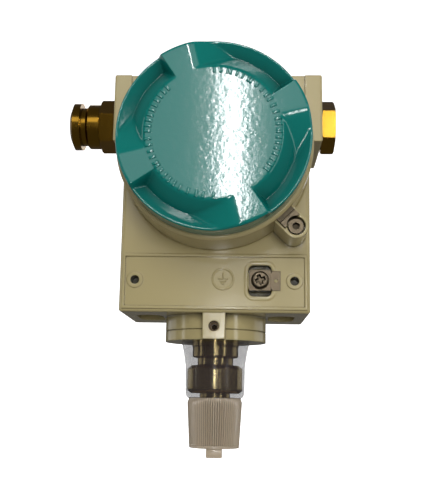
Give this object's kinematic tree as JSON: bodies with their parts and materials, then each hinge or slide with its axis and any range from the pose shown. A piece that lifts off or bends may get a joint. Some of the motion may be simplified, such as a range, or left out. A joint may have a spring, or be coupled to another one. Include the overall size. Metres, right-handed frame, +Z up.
{
  "type": "pressure transmitter",
  "caption": "Field pressure transmitter: painted two-chamber housing with screw covers, cable gland, blanking plug, earth terminal and a capped threaded process connection.",
  "frame": {"origin": "on the process axis at the lower end of the full process thread", "axes": "+Z up along the process axis; -Y towards the terminal cover; +X towards the blanking plug"},
  "size_m": [0.1374, 0.143, 0.1927],
  "materials": {
    "housing_paint": "glossy pebble-beige paint on die-cast aluminium",
    "cover_paint": "glossy teal paint with a fine orange peel on die-cast aluminium",
    "stainless": "turned stainless steel",
    "plated_steel": "plated steel",
    "brass": "turned brass",
    "black_rubber": "matt",
    "terminal_plastic": "matt",
    "module_plastic": "potted plastic",
    "key_plastic": "matt",
    "key_rubber": "matt",
    "cap_plastic": "milky translucent polyethylene"
  },
  "bodies": {
    "cell": {"process_connection": "stainless", "isolating_diaphragm": "stainless", "measuring_cell": "stainless", "sensor_header": "stainless", "cell_seal": "black_rubber"},
    "housing": {"housing": "housing_paint", "housing_terminal_side": "housing_paint", "housing_electronics_side": "housing_paint", "housing_crown": "housing_paint", "locking_screw": "plated_steel", "terminal_block": "terminal_plastic", "terminal_clamp_screws": "plated_steel", "terminal_block_screws": "plated_steel", "inner_earth_screw": "plated_steel", "feedthrough": "terminal_plastic", "electronics_module": "module_plastic", "electronics_screws": "plated_steel", "key_guide": "key_plastic", "key_cover_pin": "plated_steel", "earth_tab": "plated_steel", "earth_clamp": "plated_steel", "earth_screw": "plated_steel", "gland_gasket": "black_rubber", "gland_body": "brass", "plug_gasket": "black_rubber", "blanking_plug": "brass", "terminal_lock_clip": "plated_steel", "terminal_lock_screw": "plated_steel", "electronics_lock_clip": "plated_steel", "electronics_lock_screw": "plated_steel"},
    "terminal_gasket": {"terminal_cover_gasket": "black_rubber"},
    "terminal_cover": {"terminal_cover": "cover_paint"},
    "electronics_gasket": {"electronics_cover_gasket": "black_rubber"},
    "electronics_cover": {"electronics_cover": "cover_paint"},
    "key_cover": {"key_cover": "housing_paint"},
    "key_mode": {"key_mode": "key_rubber"},
    "key_down": {"key_down": "key_rubber"},
    "key_up": {"key_up": "key_rubber"},
    "cap": {"protective_cap": "cap_plastic"},
    "gland_seal": {"gland_seal": "black_rubber"},
    "gland_nut": {"gland_nut": "brass"}
  },
  "joints": [
    {"name": "housing_turn", "type": "hinge", "parent": "cell", "child": "housing", "pos_m": [0, 0, 0.0453], "axis": [0, 0, 1], "range_deg": [-180, 180]},
    {"name": "terminal_cover_travel", "type": "slide", "parent": "housing", "child": "terminal_gasket", "axis": [0, -1, 0], "range_m": [0, 0.0091]},
    {"name": "terminal_cover_turn", "type": "hinge", "parent": "terminal_gasket", "child": "terminal_cover", "pos_m": [0, -0.057, 0.132], "axis": [0, -1, 0], "range_deg": [0, 2160]},
    {"name": "electronics_cover_travel", "type": "slide", "parent": "housing", "child": "electronics_gasket", "axis": [0, 1, 0], "range_m": [0, 0.0091]},
    {"name": "electronics_cover_turn", "type": "hinge", "parent": "electronics_gasket", "child": "electronics_cover", "pos_m": [0, 0.057, 0.132], "axis": [0, 1, 0], "range_deg": [0, 2160]},
    {"name": "key_cover_open", "type": "hinge", "parent": "housing", "child": "key_cover", "pos_m": [0, 0.025, 0.1799], "axis": [-1, 0, 0], "range_deg": [0, 110]},
    {"name": "key_mode_press", "type": "slide", "parent": "housing", "child": "key_mode", "axis": [0, 0, -1], "range_m": [0, 0.0008], "stiffness_N_per_m": 600, "springref_m": -0.001},
    {"name": "key_down_press", "type": "slide", "parent": "housing", "child": "key_down", "axis": [0, 0, -1], "range_m": [0, 0.0008], "stiffness_N_per_m": 600, "springref_m": -0.001},
    {"name": "key_up_press", "type": "slide", "parent": "housing", "child": "key_up", "axis": [0, 0, -1], "range_m": [0, 0.0008], "stiffness_N_per_m": 600, "springref_m": -0.001},
    {"name": "cap_pull", "type": "slide", "parent": "cell", "child": "cap", "axis": [0, 0, -1], "range_m": [0, 0.06]},
    {"name": "gland_nut_travel", "type": "slide", "parent": "housing", "child": "gland_seal", "axis": [-1, 0, 0], "range_m": [0, 0.0075]},
    {"name": "gland_nut_turn", "type": "hinge", "parent": "gland_seal", "child": "gland_nut", "pos_m": [-0.062, 0, 0.158], "axis": [-1, 0, 0], "range_deg": [0, 1800]}
  ],
  "couplings": [
    {"joint": "terminal_cover_travel", "follows": "terminal_cover_turn", "m_per_rad": 0.00023873},
    {"joint": "electronics_cover_travel", "follows": "electronics_cover_turn", "m_per_rad": 0.00023873},
    {"joint": "gland_nut_turn", "follows": "gland_nut_travel", "rad_per_m": 4188.8}
  ]
}
